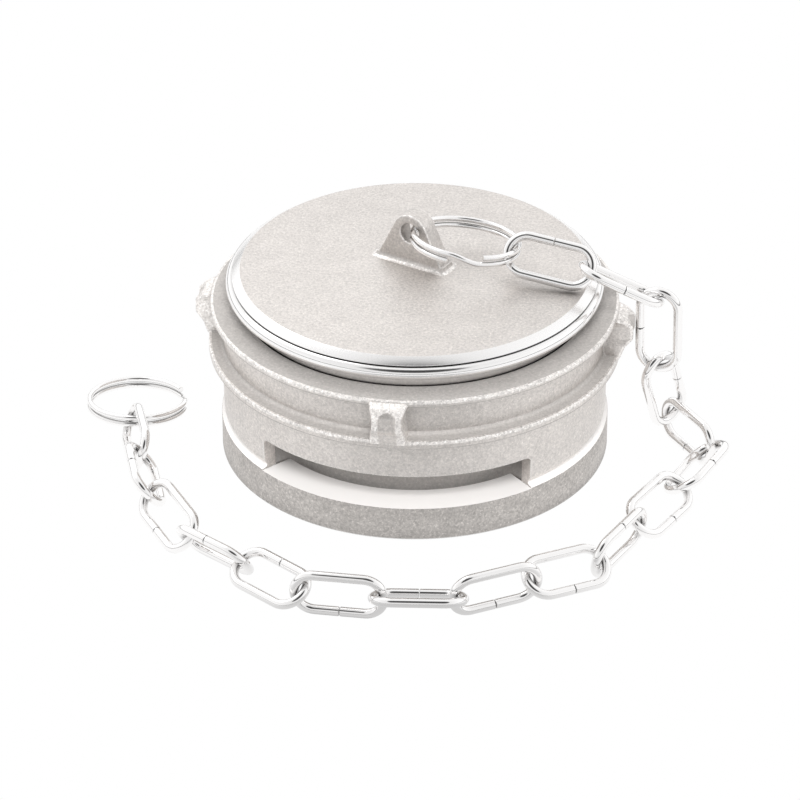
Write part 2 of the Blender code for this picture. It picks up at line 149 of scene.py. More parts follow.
ENTRY_HEIGHTS = (-1, 12.4)
LUG_COUNT = 4
LUG_OUTLINE = [
    (56.4, 50.35),
    (62.6, 50.35),
    (65.6, 49.3),
    (68.0, 47.2),
    (68.0, 42.5),
    (65.6, 39.8),
    (64.1, 35.75),
    (56.4, 35.75),
]
LUG_WIDTHS = (12.0, 9.2)
EAR = {
    "centre": (-0.7, 4.5),
    "heading": -24,
    "length": 23.6,
    "thick": 6.0,
    "edge": 0.45,
    "hole_up": 10.6,
    "hole": 6.7,
    "top": 6.1,
}
print("turned pieces:", len(BODY_CORNERS), "and", len(RING_CORNERS), "corners")

# %% [markdown]
# ## Building shapes
#
# A grid of points becomes a surface: each row joins the next, and a row or a column may close on
# itself. Turned pieces, wires and lugs are all such grids.


# %% Grids, rounding and booleans
def grid_mesh(name, points, wrap_rows=True, wrap_columns=True, slots=None, caps=False):
    """A surface over a rows by columns grid of points, in metres.

    The slots are one for each column, or one for each face.
    """
    rows, columns = points.shape[:2]
    index = np.arange(rows * columns).reshape(rows, columns)
    if wrap_rows:
        index = np.vstack([index, index[:1]])
    if wrap_columns:
        index = np.hstack([index, index[:, :1]])
    quads = np.stack([index[:-1, :-1], index[1:, :-1], index[1:, 1:], index[:-1, 1:]], -1)
    quads = quads.reshape(-1, 4)
    faces = quads.tolist()
    if caps:
        faces.append(list(range(columns)))
        faces.append(list(range(rows * columns - 1, (rows - 1) * columns - 1, -1)))
    mesh = bpy.data.meshes.new(name)
    mesh.from_pydata(points.reshape(-1, 3).tolist(), [], faces)
    if slots is not None:
        across = index.shape[1] - 1
        slots = np.asarray(slots)
        if slots.ndim == 1:
            slots = np.tile(slots[:across], index.shape[0] - 1)
        kind = np.zeros(len(faces), dtype=np.int32)
        kind[: len(quads)] = slots.ravel()
        mesh.polygons.foreach_set("material_index", kind)
    return mesh


def clean(mesh, within=1e-7):
    """Merges points that lie on each other and turns the faces outward."""
    bm = bmesh.new()
    bm.from_mesh(mesh)
    bmesh.ops.remove_doubles(bm, verts=bm.verts, dist=within)
    bmesh.ops.dissolve_degenerate(bm, edges=bm.edges, dist=within)
    bmesh.ops.recalc_face_normals(bm, faces=bm.faces)
    bm.to_mesh(mesh)
    bm.free()
    return mesh


def add(name, mesh):
    """An object for the mesh, in the scene."""
    made = bpy.data.objects.new(name, mesh)
    bpy.context.scene.collection.objects.link(made)
    return made


def mesh_points(mesh):
    """The mesh's points, one row of x, y and z each."""
    points = np.empty(len(mesh.vertices) * 3)
    mesh.vertices.foreach_get("co", points)
    return points.reshape(-1, 3)


def rounded(corners, closed, fine=5):
    """The corners as a smooth outline, with an arc of each corner's rounding. Returns points and slots.

    An arc of radius r in a corner of angle 2h starts r / tan(h) from the corner, and its centre is
    r / sin(h) from it. The arc's points are spread evenly between its two ends.
    """
    flat = np.array([corner[:2] for corner in corners], float)
    count = len(flat)
    points, slots = [], []
    for i, (_, _, radius, slot) in enumerate(corners):
        if not radius or (not closed and i in (0, count - 1)):
            points.append(flat[i])
            slots.append(slot)
            continue
        back, ahead = flat[i - 1] - flat[i], flat[(i + 1) % count] - flat[i]
        room = min(np.linalg.norm(back), np.linalg.norm(ahead)) * 0.48
        back, ahead = back / np.linalg.norm(back), ahead / np.linalg.norm(ahead)
        half = math.acos(np.clip(back @ ahead, -1, 1)) / 2
        reach = min(radius / math.tan(half), room)
        radius = reach * math.tan(half)
        middle = back + ahead
        centre = flat[i] + middle / np.linalg.norm(middle) * radius / math.sin(half)
        start, end = flat[i] + back * reach - centre, flat[i] + ahead * reach - centre
        share = np.linspace(0, 1, fine)
        turn = math.pi - 2 * half
        from_start, from_end = np.sin((1 - share) * turn), np.sin(share * turn)
        arc = (from_start[:, None] * start + from_end[:, None] * end) / math.sin(turn)
        points.extend(centre + arc)
        slots.extend([slot] * fine)
    return np.array(points), slots


def lathe(name, corners, closed=True):
    """A turned piece from its corners."""
    outline, slots = rounded(corners, closed)
    angle = np.linspace(0, 2 * np.pi, STEPS, endpoint=False)[:, None]
    radius, height = outline[:, 0] * MM, outline[:, 1] * MM
    x, y = radius * np.cos(angle), radius * np.sin(angle)
    points = np.stack([x, y, np.broadcast_to(height, x.shape)], -1)
    return add(name, clean(grid_mesh(name, points, True, closed, slots)))


def placeholder(number):
    """The stand-in material of a finish slot, made once."""
    name = f"slot_{number}"
    return bpy.data.materials.get(name) or bpy.data.materials.new(name)


def carve(obj, *steps):
    """Joins or cuts each (shape, operation) in turn, keeps the result and drops the shapes.

    Every shape holds the same finish slots, so that faces keep their slot numbers.
    """
    for shape in (obj, *(shape for shape, _ in steps)):
        for number in range(SLOT_COUNT):
            shape.data.materials.append(placeholder(number))
    for shape, operation in steps:
        modifier = obj.modifiers.new(shape.name, "BOOLEAN")
        modifier.operation = operation
        modifier.solver = "EXACT"
        modifier.object = shape
    bpy.context.view_layer.update()
    done = obj.evaluated_get(bpy.context.evaluated_depsgraph_get())
    mesh = bpy.data.meshes.new_from_object(done)
    obj.modifiers.clear()
    obj.data = mesh
    for shape, _ in steps:
        bpy.data.objects.remove(shape, do_unlink=True)
    return obj


def smooth(obj, degrees=28):
    """Smooth shading that stops at edges sharper than this."""
    obj.data.shade_smooth()
    obj.data.set_sharp_from_angle(angle=math.radians(degrees))


def hand_over(obj, node, body, *materials):
    """The piece takes the node's place on its body, with these finishes in its slots."""
    held = len(obj.data.materials)
    for number, material in enumerate(materials):
        if number < held:
            obj.data.materials[number] = material
        else:
            obj.data.materials.append(material)
    smooth(obj)
    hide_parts(node)
    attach(obj, body)


print("shape tools ready")

# %% [markdown]
# ## Shared effects
#
# Each effect is a node group with named inputs, so that every finish can use it at its own
# strength: fine cast grain, the rings that a lathe leaves, worn bright edges, and shade in corners.


# %% Node groups
def new_group(name, inputs, outputs):
    """An empty shader group with float inputs {name: value} and the named outputs."""
    tree = bpy.data.node_groups.new(name, "ShaderNodeTree")
    for label, value in inputs.items():
        socket = tree.interface.new_socket(label, in_out="INPUT", socket_type="NodeSocketFloat")
        socket.default_value = value
    for label, kind in outputs.items():
        tree.interface.new_socket(label, in_out="OUTPUT", socket_type=kind)
    return tree, tree.nodes.new("NodeGroupInput"), tree.nodes.new("NodeGroupOutput")


def math_node(tree, operation, *values, clamp=False):
    """A math node fed by sockets or numbers. Returns its result."""
    node = tree.nodes.new("ShaderNodeMath")
    node.operation = operation
    node.use_clamp = clamp
    for socket, value in zip(node.inputs, values):
        if isinstance(value, (int, float)):
            socket.default_value = value
        else:
            tree.links.new(value, socket)
    return node.outputs[0]


def noise_node(tree, vector, scale, detail=3.0, roughness=0.6):
    """A noise texture on the vector. Returns its value."""
    node = tree.nodes.new("ShaderNodeTexNoise")
    node.inputs["Detail"].default_value = detail
    node.inputs["Roughness"].default_value = roughness
    if isinstance(scale, (int, float)):
        node.inputs["Scale"].default_value = scale
    else:
        tree.links.new(scale, node.inputs["Scale"])
    tree.links.new(vector, node.inputs["Vector"])
    return node.outputs["Fac"]


def grain_group():
    """Blasted casting.

    Tone = 1 + mottle * (noise - 0.5) + speckle * bright spots, where noise = 0.22 slow + 0.78 middle
    and bright spots = 7 * (fine - 0.56), kept from 0 to 1. Height = fine + 1.4 middle.
    """
    tree, given, out = new_group(
        "Cast grain",
        {"Scale": 1400.0, "Mottle": 0.1, "Speckle": 0.1},
        {"Tone": "NodeSocketFloat", "Height": "NodeSocketFloat"},
    )
    place = tree.nodes.new("ShaderNodeTexCoord").outputs["Object"]
    slow = noise_node(tree, place, 160.0, 3.0, 0.6)
    middle = noise_node(tree, place, 1100.0, 2.0, 0.7)
    fine = noise_node(tree, place, given.outputs["Scale"], 2.0, 0.6)
    shares = [math_node(tree, "MULTIPLY", slow, 0.22), math_node(tree, "MULTIPLY", middle, 0.78)]
    both = math_node(tree, "ADD", *shares)
    above = math_node(tree, "SUBTRACT", both, 0.5)
    mottle = math_node(tree, "MULTIPLY", above, given.outputs["Mottle"])
    spots = math_node(tree, "MULTIPLY", math_node(tree, "SUBTRACT", fine, 0.56), 7.0, clamp=True)
    bright = math_node(tree, "MULTIPLY", spots, given.outputs["Speckle"])
    tone = math_node(tree, "ADD", math_node(tree, "ADD", mottle, bright), 1.0)
    height = math_node(tree, "ADD", fine, math_node(tree, "MULTIPLY", middle, 1.4))
    tree.links.new(tone, out.inputs["Tone"])
    tree.links.new(height, out.inputs["Height"])
    return tree


def lathe_group():
    """Tool rings round Z. Height = noise of (distance from the axis + height) / pitch."""
    tree, given, out = new_group("Tool rings", {"Pitch": 0.00025}, {"Height": "NodeSocketFloat"})
    place = tree.nodes.new("ShaderNodeTexCoord").outputs["Object"]
    parts = tree.nodes.new("ShaderNodeSeparateXYZ")
    tree.links.new(place, parts.inputs[0])
    squares = [math_node(tree, "MULTIPLY", parts.outputs[i], parts.outputs[i]) for i in (0, 1)]
    radius = math_node(tree, "SQRT", math_node(tree, "ADD", *squares))
    reach = math_node(tree, "ADD", radius, parts.outputs[2])
    along = math_node(tree, "DIVIDE", reach, given.outputs["Pitch"])
    rings = tree.nodes.new("ShaderNodeTexNoise")
    rings.noise_dimensions = "1D"
    rings.inputs["Scale"].default_value = 1.0
    rings.inputs["Detail"].default_value = 2.0
    tree.links.new(along, rings.inputs["W"])
    tree.links.new(rings.outputs["Fac"], out.inputs["Height"])
    return tree


def edge_group():
    """Worn edges. Edge = gain * (1 - rounded normal . true normal), and Normal is the rounded one."""
    tree, given, out = new_group(
        "Worn edges",
        {"Width": 0.0003, "Gain": 3.0},
        {"Edge": "NodeSocketFloat", "Normal": "NodeSocketVector"},
    )
    bevel = tree.nodes.new("ShaderNodeBevel")
    bevel.samples = 6
    tree.links.new(given.outputs["Width"], bevel.inputs["Radius"])
    true = tree.nodes.new("ShaderNodeNewGeometry").outputs["Normal"]
    dot = tree.nodes.new("ShaderNodeVectorMath")
    dot.operation = "DOT_PRODUCT"
    tree.links.new(bevel.outputs[0], dot.inputs[0])
    tree.links.new(true, dot.inputs[1])
    lost = math_node(tree, "SUBTRACT", 1.0, dot.outputs["Value"])
    edge = math_node(tree, "MULTIPLY", lost, given.outputs["Gain"], clamp=True)
    tree.links.new(edge, out.inputs["Edge"])
    tree.links.new(bevel.outputs[0], out.inputs["Normal"])
    return tree


def corner_group():
    """Shade in corners. Shade = 1 - depth * (1 - openness within the reach)."""
    tree, given, out = new_group(
        "Corner shade",
        {"Reach": 0.004, "Depth": 0.5},
        {"Shade": "NodeSocketFloat"},
    )
    occlusion = tree.nodes.new("ShaderNodeAmbientOcclusion")
    occlusion.samples = 8
    tree.links.new(given.outputs["Reach"], occlusion.inputs["Distance"])
    closed = math_node(tree, "SUBTRACT", 1.0, occlusion.outputs["AO"])
    lost = math_node(tree, "MULTIPLY", closed, given.outputs["Depth"])
    shade = math_node(tree, "SUBTRACT", 1.0, lost)
    tree.links.new(shade, out.inputs["Shade"])
    return tree


GROUPS = {
    "grain": grain_group(),
    "rings": lathe_group(),
    "edges": edge_group(),
    "corners": corner_group(),
}
print("effects:", ", ".join(GROUPS))

# %% [markdown]
# ## Finishes
#
# One function makes every metal finish from a few numbers. The colour is the base colour times the
# grain's tone and the corner shade, and worn edges are mixed in as a lighter metal.


# %% Materials
WORN_METAL = (0.95, 0.94, 0.92, 1)
MIX_FACTOR, MIX_FIRST, MIX_SECOND = 0, 6, 7  # the colour sockets of a Mix node


def use_group(tree, name, **values):
    """The named effect in a material, with its inputs set."""
    node = tree.nodes.new("ShaderNodeGroup")
    node.node_tree = GROUPS[name]
    for label, value in values.items():
        node.inputs[label].default_value = value
    return node


def times_colour(tree, colour, factor):
    """The colour multiplied by a factor socket."""
    node = tree.nodes.new("ShaderNodeVectorMath")
    node.operation = "SCALE"
    node.inputs[0].default_value = colour
    tree.links.new(factor, node.inputs["Scale"])
    return node.outputs[0]


def metal(
    name,
    colour,
    roughness,
    grain=None,
    rings=None,
    edges=None,
    corners=None,
    bump=0.1,
    lift=1e-5,
    metallic=1.0,
):
    """A metal finish from a base colour, a roughness and the effects that it wears.

    Worn edges are half as rough: roughness * (1 - edge / 2). The bump's lift is in metres.
    """
    material = bpy.data.materials.new(name)
    material.use_nodes = True
    tree = material.node_tree
    shader = tree.nodes["Principled BSDF"]
    shader.inputs["Metallic"].default_value = metallic
    shader.inputs["Roughness"].default_value = roughness
    tone, height, normal = None, None, None
    if grain:
        node = use_group(tree, "grain", **grain)
        tone, height = node.outputs["Tone"], node.outputs["Height"]
    if rings:
        height = use_group(tree, "rings", **rings).outputs["Height"]
    if corners:
        shade = use_group(tree, "corners", **corners).outputs["Shade"]
        tone = shade if tone is None else math_node(tree, "MULTIPLY", tone, shade)
    if tone is None:
        shader.inputs["Base Color"].default_value = (*colour, 1)
    else:
        colour_out = times_colour(tree, colour, tone)
    if edges:
        node = use_group(tree, "edges", **edges)
        normal = node.outputs["Normal"]
        blend = tree.nodes.new("ShaderNodeMix")
        blend.data_type = "RGBA"
        blend.inputs[MIX_SECOND].default_value = WORN_METAL
        tree.links.new(node.outputs["Edge"], blend.inputs[MIX_FACTOR])
        tree.links.new(colour_out, blend.inputs[MIX_FIRST])
        colour_out = blend.outputs[2]
        rough = math_node(tree, "MULTIPLY", node.outputs["Edge"], -roughness * 0.5)
        tree.links.new(math_node(tree, "ADD", rough, roughness), shader.inputs["Roughness"])
    if tone is not None:
        tree.links.new(colour_out, shader.inputs["Base Color"])
    if height is not None:
        relief = tree.nodes.new("ShaderNodeBump")
        relief.inputs["Strength"].default_value = bump
        relief.inputs["Distance"].default_value = lift
        tree.links.new(height, relief.inputs["Height"])
        if normal is not None:
            tree.links.new(normal, relief.inputs["Normal"])
        normal = relief.outputs[0]
    if normal is not None:
        tree.links.new(normal, shader.inputs["Normal"])
    return material


WORN = {"Width": 0.0005, "Gain": 3.5}
SHADED = {"Reach": 0.005, "Depth": 0.4}
BLASTED = metal(
    "blasted_casting",
    (0.735, 0.70, 0.672),
    0.45,
    grain={"Scale": 1900.0, "Mottle": 0.9, "Speckle": 0.25},
    edges=WORN,
    corners=SHADED,
    bump=0.7,
    lift=9e-5,
)
ROUGH_BAND = metal(
    "rough_band",
    (0.57, 0.543, 0.52),
    0.55,
    grain={"Scale": 1700.0, "Mottle": 1.3, "Speckle": 0.4},
    edges={"Width": 0.0003, "Gain": 1.2},
    corners=SHADED,
    bump=0.9,
    lift=1.4e-4,
)
# A darker, less metallic copy of the casting that paints shade: on the web under the wire ring, the
# undersides of the flange and the rib, the rib's top and the skirt in the windows.
PAINTED_SHADE_CAST = metal(
    "casting_painted_shade",
    (0.45, 0.428, 0.41),
    0.6,
    grain={"Scale": 1700.0, "Mottle": 0.8, "Speckle": 0.2},
    bump=0.6,
    lift=1e-4,
    metallic=0.35,
)
MACHINED = metal(
    "turned_face",
    (0.97, 0.96, 0.955),
    0.24,
    rings={"Pitch": 0.00022},
    corners={"Reach": 0.002, "Depth": 0.4},
    bump=0.15,
    lift=4e-6,
)
BRIGHT_WIRE = metal("bright_wire", (0.97, 0.96, 0.955), 0.07, corners={"Reach": 0.002, "Depth": 0.6})
DRAWN_WIRE = metal("drawn_wire", (0.95, 0.94, 0.935), 0.12, corners={"Reach": 0.0025, "Depth": 0.6})
CUT_SILL = metal(
    "cut_sill",
    (0.82, 0.80, 0.785),
    0.5,
    rings={"Pitch": 0.0003},
    bump=0.1,
    lift=4e-6,
    metallic=0.15,
)
# A lighter, less metallic casting for rubbed edges, which also paints the highlight on rounded edges, the
# ear's foot fillet and the lugs' borders.
RUBBED_EDGE_HIGHLIGHT = metal(
    "rubbed_edge_highlight",
    (0.79, 0.76, 0.735),
    0.42,
    grain={"Scale": 1200.0, "Mottle": 1.8, "Speckle": 0.5},
    bump=0.9,
    lift=1.5e-4,
    metallic=0.75,
)


def rubber():
    """Matt black rubber with a fine bloom."""
    material = bpy.data.materials.new("seal_rubber")
    material.use_nodes = True
    tree = material.node_tree
    shader = tree.nodes["Principled BSDF"]
    shader.inputs["Roughness"].default_value = 0.62
    grain = use_group(tree, "grain", Scale=900.0, Mottle=0.5, Speckle=0.3)
    black = times_colour(tree, (0.022, 0.022, 0.021), grain.outputs["Tone"])
    tree.links.new(black, shader.inputs["Base Color"])
    return material


RUBBER = rubber()
FINISHES = (BLASTED, MACHINED, ROUGH_BAND, PAINTED_SHADE_CAST, CUT_SILL, RUBBED_EDGE_HIGHLIGHT)  # in the slots' order
print("finishes:", ", ".join(finish.name for finish in (*FINISHES, BRIGHT_WIRE, DRAWN_WIRE, RUBBER)))

# %% [markdown]
# ## The cap body
#
# The body is turned, and then the ear is joined to its lid. The ear is a flat outline with rounded
# edges, and a hollow fillet runs round its foot.


# %% Ear and body
CROWN_STEPS, HOLE_STEPS = 40, 64
EDGE_LEAN = (0.15, 0.93)  # how far across the plate the normal of a rounded edge's face points


def ear_place():
    """The matrix from the ear's own plane (length, height, thickness) to the row."""
    heading = math.radians(EAR["heading"])
    along = np.array([math.cos(heading), math.sin(heading), 0])
    up = np.array([0, 0, 1.0])
    place = np.eye(4)
    place[:3, :3] = np.stack([along, up, np.cross(along, up)], -1)
    place[:3, 3] = np.array([*EAR["centre"], BODY_CORNERS[0][1]]) * MM
    return place


def moved(points, place):
    """Points taken through a 4 by 4 matrix."""
    return points @ place[:3, :3].T + place[:3, 3]


def ear_plate():
    """The plate with its hole: a filled outline with a rounded edge all round."""
    half, up, top = EAR["length"] / 2, EAR["hole_up"], EAR["top"]
    tangent = math.atan2(up, half) + math.acos(top / math.hypot(half, up))
    start = tangent - math.pi / 2
    turn = np.linspace(start, math.pi - start, CROWN_STEPS)
    crown = np.stack([top * np.cos(turn), up + top * np.sin(turn)], -1)
    outline = np.vstack([crown, [[-half, 0], [-half, -1], [half, -1], [half, 0]]])
    turn = np.linspace(0, 2 * np.pi, HOLE_STEPS, endpoint=False)
    hole = np.stack([np.cos(turn), np.sin(turn)], -1) * EAR["hole"] / 2 + [0, up]
    curve = bpy.data.curves.new("ear_plate", "CURVE")
    curve.dimensions, curve.fill_mode = "2D", "BOTH"
    edge = EAR["edge"] * MM
    curve.bevel_depth, curve.bevel_resolution, curve.offset = edge, 3, -edge
    curve.extrude = EAR["thick"] / 2 * MM - edge
    for loop in (outline, hole):
        spline = curve.splines.new("POLY")
        spline.points.add(len(loop) - 1)
        points = np.column_stack([loop * MM, np.zeros(len(loop)), np.ones(len(loop))])
        spline.points.foreach_set("co", points.ravel())
        spline.use_cyclic_u = True
    guide = add("ear_outline", curve)
    bpy.context.view_layer.update()
    mesh = bpy.data.meshes.new_from_object(guide.evaluated_get(bpy.context.evaluated_depsgraph_get()))
    bpy.data.objects.remove(guide, do_unlink=True)
    facing = np.empty(len(mesh.polygons) * 3)
    mesh.polygons.foreach_get("normal", facing)
    leaning = np.abs(facing.reshape(-1, 3)[:, 2])
    # The faces of the ear's rounded edge take the lighter rubbed finish, with its painted highlight.
    on_edge = (leaning > EDGE_LEAN[0]) & (leaning < EDGE_LEAN[1])
    mesh.polygons.foreach_set("material_index", np.where(on_edge, RUBBED_HIGHLIGHT, CAST))
    mesh.vertices.foreach_set("co", moved(mesh_points(mesh), ear_place()).ravel())
    return add("ear_plate", clean(mesh, 2e-6))


def ear_foot(radius=1.7):
    """The fillet round the plate's foot: a hollow quarter circle carried round a rounded oblong.

    It reaches in under the plate as far as the core, and sinks a little into the lid.
    """
    corner, per_corner = 0.7, 8
    core, sink = 0.1, 0.5
    long, thick = EAR["length"] / 2 - corner, EAR["thick"] / 2 - corner
    turn = np.linspace(0, np.pi / 2, per_corner)
    signs = [(1, 1, 0), (-1, 1, 1), (-1, -1, 2), (1, -1, 3)]
    centre = np.vstack([np.tile([sx * long, sy * thick], (per_corner, 1)) for sx, sy, _ in signs])
    facing = np.concatenate([turn + quarter * np.pi / 2 for _, _, quarter in signs])
    out = np.stack([np.cos(facing), np.sin(facing)], -1)
    bend = np.linspace(0, np.pi / 2, 7)
    reach = np.concatenate([corner + radius * (1 - np.cos(bend)), [corner + radius, core, core]])
    height = np.concatenate([radius * (1 - np.sin(bend)), [-sink, -sink, radius]])
    flat = centre[:, None, :] + out[:, None, :] * reach[None, :, None]
    points = np.stack([flat[..., 0], np.broadcast_to(height, flat.shape[:2]), flat[..., 1]], -1) * MM
    # the middle of the fillet takes the lighter rubbed finish: a painted highlight along it
    slots = [CAST, CAST, CAST, RUBBED_HIGHLIGHT, RUBBED_HIGHLIGHT, RUBBED_HIGHLIGHT, RUBBED_HIGHLIGHT, CAST, CAST, CAST]
    placed = moved(points.reshape(-1, 3), ear_place()).reshape(points.shape)
    return add("ear_foot", clean(grid_mesh("ear_foot", placed, True, True, slots)))


body = lathe("cap_body_skin", BODY_CORNERS, closed=False)
carve(body, (ear_foot(), "UNION"), (ear_plate(), "UNION"))
hand_over(body, "cap_body", "cap", *FINISHES)
print("cap body:", len(body.data.polygons), "faces")

# %% [markdown]
# ## The locking ring
#
# The ring is turned as one casting. Lugs are joined to it and windows cut through it. A lug is a
# grid that follows its side outline, narrower at the outside, with an arched panel sunk in its face.


# %% Lugs, windows and the ring
LUG = {"rows": 90, "columns": 41, "rounding": 1.1, "edge": 0.9, "rubbed_highlight_above": 1.2, "rubbed_highlight_share": 0.4}
PANEL = {"starts_at": 64.2, "middle": 4.8, "arch": 2.9, "slope": 0.55, "tail": 7.2, "tail_slope": 0.8}
PANEL_DEPTH = 0.45
SECTOR_STEPS = 121


def resample(line, count):
    """Points at even distances along a line."""
    line = np.asarray(line, float)
    reach = np.concatenate([[0], np.cumsum(np.linalg.norm(np.diff(line, axis=0), axis=1))])
    at = np.linspace(0, reach[-1], count)
    return np.stack([np.interp(at, reach, line[:, i]) for i in (0, 1)], -1), at


def lug(name, facing):
    """One lug: rows go down its outer face, and columns go round from one flank to the other.

    The half width changes in a straight line from the flange's edge outwards. Near a flank the face
    drops as a quarter circle. The panel sinks by depth * (3 f^2 - 2 f^3), where f grows from 0 at
    the arch to 1 one slope further in.
    """
    ends = (0, len(LUG_OUTLINE) - 1)
    rounding = [0 if i in ends else LUG["rounding"] for i in range(len(LUG_OUTLINE))]
    corners = [(r, z, bend, CAST) for (r, z), bend in zip(LUG_OUTLINE, rounding)]
    line, at = resample(rounded(corners, False)[0], LUG["rows"])
    root, reach = LUG_OUTLINE[0][0], max(r for r, _ in LUG_OUTLINE)
    rim = RING_CORNERS[3][0]
    taper = (LUG_WIDTHS[1] - LUG_WIDTHS[0]) / 2 / (reach - rim)
    half = LUG_WIDTHS[0] / 2 + taper * (line[:, 0] - rim)
    y = np.linspace(-1, 1, LUG["columns"])[None, :] * half[:, None]
    edge = LUG["edge"]
    inset = np.maximum(np.abs(y) - (half[:, None] - edge), 0)
    drop = edge - np.sqrt(np.maximum(edge**2 - inset**2, 0))
    start = at[np.argmax(line[:, 0] > PANEL["starts_at"])]
    below = np.maximum(start + PANEL["middle"] - at, 0)[:, None]
    inside = PANEL["arch"] - np.hypot(y, below)
    left = at[-1] - PANEL["tail"] - at
    fade = np.clip(inside / PANEL["slope"], 0, 1) * np.clip(left / PANEL["tail_slope"], 0, 1)[:, None]
    sunk = PANEL_DEPTH * fade * fade * (3 - 2 * fade)
    along = np.gradient(line, axis=0)
    outward = np.stack([-along[:, 1], along[:, 0]], -1)
    outward /= np.linalg.norm(outward, axis=1)[:, None]
    depth = (drop + sunk)[..., None] * outward[:, None, :]
    r = np.maximum(line[:, None, 0] - depth[..., 0], root)
    z = np.clip(line[:, None, 1] - depth[..., 1], LUG_OUTLINE[-1][1], LUG_OUTLINE[0][1])
    back_r, back_z = np.full((len(line), 2), root), np.repeat(line[:, 1:], 2, 1)
    back = np.stack([back_r, np.stack([half, -half], -1), back_z], -1)
    points = np.concatenate([np.stack([r, y, z], -1), back], 1) * MM
    slots = np.full((len(line) - 1, points.shape[1]), CAST)
    # Outside the panel the face takes the lighter rubbed finish: rubbed edges and a painted highlight on the
    # rounded border.
    shown = (at[:-1] > start - LUG["rubbed_highlight_above"])[:, None]
    slots[:, : LUG["columns"]][shown & (fade[:-1] < LUG["rubbed_highlight_share"])] = RUBBED_HIGHLIGHT
    cosine, sine = math.cos(facing), math.sin(facing)
    spin = np.array([[cosine, -sine, 0], [sine, cosine, 0], [0, 0, 1]])
    return add(name, clean(grid_mesh(name, points @ spin.T, False, True, slots, True), 2e-6))


def sector(name, spread, inner, outer, foot, top, corner, facing):
    """A cutter through a round wall, spread to both sides of facing, with rounded upper corners.

    At a distance d from its end wall, the roof is lower by corner - sqrt(corner^2 - (corner - d)^2).
    """
    share = (1 - np.cos(np.linspace(0, np.pi, SECTOR_STEPS))) / 2
    angle = np.radians(spread) * (2 * share - 1)
    away = (np.radians(spread) - np.abs(angle)) * inner
    into = np.maximum(corner - away, 0)
    drop = corner - np.sqrt(np.maximum(corner**2 - into**2, 0))
    radii = np.array([inner, outer, outer, inner])
    angle = (angle + facing)[:, None]
    x, y = radii * np.cos(angle), radii * np.sin(angle)
    low, high = np.full(SECTOR_STEPS, foot), top - drop
    points = np.stack([x, y, np.stack([low, low, high, high], -1)], -1) * MM
    slots = [SILL if corner else TURNED, CAST, CAST, CAST]
    return add(name, clean(grid_mesh(name, points, False, True, slots, True)))


ring = lathe("locking_ring_skin", RING_CORNERS)
front = -math.pi / 2
steps = [(lug(f"lug_{i + 1}", front + i * 2 * math.pi / LUG_COUNT), "UNION") for i in range(LUG_COUNT)]
for facing in (front, front + math.pi):
    window = sector("window", WINDOW_SPREAD, *WINDOW_WALL, *WINDOW_HEIGHTS, WINDOW_CORNER, facing)
    steps.append((window, "DIFFERENCE"))
for facing in (0, math.pi):
    entry = sector("entry", ENTRY_SPREAD, *ENTRY_WALL, *ENTRY_HEIGHTS, 0, facing)
    steps.append((entry, "DIFFERENCE"))
carve(ring, *steps)
hand_over(ring, "locking_ring", "locking_ring", *FINISHES)
print("locking ring:", len(ring.data.polygons), "faces")

# %% [markdown]
# ## Wires
#
# A wire is a circle carried along a path. Its ends are cut square with a small chamfer. The chain's
# links, the split rings and the two wire rings under the lid are all made this way. Each of the two
# is (node, radius, height, thickness), with its gap at the rear.


# %% Wire tools
FACET_FIT = 0.965  # keeps a round wire inside the CAD's faceted one
END_CHAMFER = 0.12  # of the wire's radius
RING_GAP = math.radians(4.5)
RING_STEPS, RING_SIDES = 260, 28
WIRE_RINGS = (("retaining_ring", 56.2, 56.65, 4.1), ("snap_ring", 53.1, 42.6, 3.2))


def sweep(name, path, normal, radius, sides=20):
    """A wire with cut ends along an open path that lies near the plane square to normal, in metres."""
    ahead = np.gradient(path, axis=0)
    ahead /= np.linalg.norm(ahead, axis=1)[:, None]
    side = np.cross(ahead, normal)
    side /= np.linalg.norm(side, axis=1)[:, None]
    above = np.cross(side, ahead)
    chamfer = END_CHAMFER * radius
    first, last = path[:1] + ahead[:1] * chamfer, path[-1:] - ahead[-1:] * chamfer
    path = np.vstack([path[:1], first, path[1:-1], last, path[-1:]])
    side, above = (np.vstack([v[:1], v, v[-1:]]) for v in (side, above))
    size = np.full(len(path), radius)
    size[[0, -1]] = radius * (1 - END_CHAMFER)
    turn = np.linspace(0, 2 * np.pi, sides, endpoint=False)[None, :, None]
    circle = np.cos(turn) * side[:, None] + np.sin(turn) * above[:, None]
    points = path[:, None] + size[:, None, None] * circle
    return add(name, clean(grid_mesh(name, points, False, True, None, True)))


for node, radius, height, thick in WIRE_RINGS:
    angle = np.linspace(math.pi / 2 + RING_GAP, math.pi * 2.5 - RING_GAP, RING_STEPS)
    x, y = radius * np.cos(angle), radius * np.sin(angle)
    path = np.stack([x, y, np.full(RING_STEPS, height)], -1) * MM
    made = sweep(node + "_wire", path, [0, 0, 1], thick / 2 * MM, RING_SIDES)
    hand_over(made, node, "cap", DRAWN_WIRE)
seal = lathe("face_seal_skin", SEAL_CORNERS)
hand_over(seal, "face_seal", "cap", RUBBER)
print("wire rings and seal made")

# %% [markdown]
# ## The chain
#
# Each link takes its place from its CAD node. The node's points give its centre, its long way, its
# wide way and the normal of its plane. A link is bent from wire, and its ends meet in one side:
# the upper one on even links, unless the photograph shows otherwise.


# %% Links
LINK = {"wire": 3.0, "length": 30.0, "width": 15.0, "split": 0.22}
LINK_COUNT, BOW_STEPS = 17, 22
SPLIT_SIDE_UP = {1: True, 2: True, 10: False, 12: False, 13: True}


